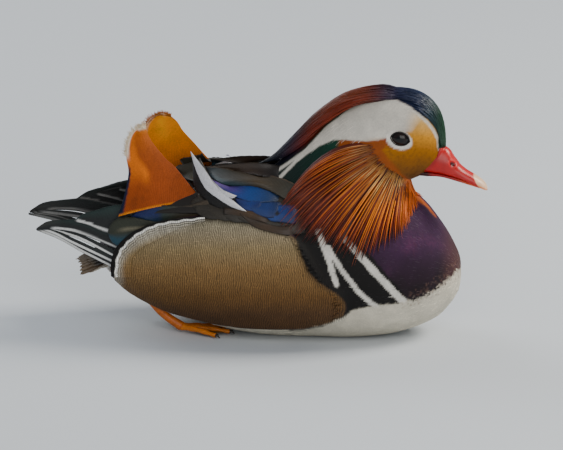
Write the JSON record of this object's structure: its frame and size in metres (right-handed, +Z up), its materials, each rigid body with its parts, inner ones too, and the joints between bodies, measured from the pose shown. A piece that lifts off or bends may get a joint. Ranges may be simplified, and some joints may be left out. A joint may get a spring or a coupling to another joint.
{
  "type": "mandarin duck",
  "caption": "Life-size still drake mandarin duck afloat: red bill, crest, copper ruff, upright orange sails, folded wings, tucked feet, resting on its belly.",
  "frame": {"origin": "on the ground, at the middle of the flat of the belly that the bird rests on", "axes": "+X points to the bill, +Y to the bird's left, +Z up"},
  "size_m": [0.3545, 0.1364, 0.193],
  "materials": {
    "bill_horn": "smooth red horn with a pale nail",
    "breast_plumage": "glossy maroon-purple small feathers, white belly",
    "cheek_plumage": "short golden-buff face feathers, white band over the eye",
    "crest_plumage": "long silky feathers, green and copper to dark teal",
    "eye_dark": "wet dark brown",
    "flank_plumage": "buff side feathers with fine wavy bars",
    "foot_skin": "scaly yellow-orange skin and dark webs",
    "mantle_plumage": "olive-brown back feathers with a violet gloss",
    "primary_plumage": "dark flight feathers with silver-white outer edges",
    "ruff_plumage": "long narrow copper-orange hackles with pale shafts",
    "sail_plumage": "stiff cinnamon-orange vanes with a cream fringe",
    "tail_plumage": "grey-brown tail feathers",
    "wing_plumage": "dark blue-green wing feathers with a white band"
  },
  "bodies": {
    "root": {"bill_lower": "bill_horn", "bill_upper": "bill_horn", "crest": "crest_plumage", "eye_left": "eye_dark", "eye_right": "eye_dark", "flank_left": "flank_plumage", "flank_right": "flank_plumage", "head": "cheek_plumage", "leg_left": "foot_skin", "leg_right": "foot_skin", "mantle": "mantle_plumage", "neck": "crest_plumage", "primaries_left": "primary_plumage", "primaries_right": "primary_plumage", "ruff_left": "ruff_plumage", "ruff_right": "ruff_plumage", "sail_left": "sail_plumage", "sail_right": "sail_plumage", "tail": "tail_plumage", "torso": "breast_plumage", "wing_left": "wing_plumage", "wing_right": "wing_plumage"}
  },
  "joints": []
}
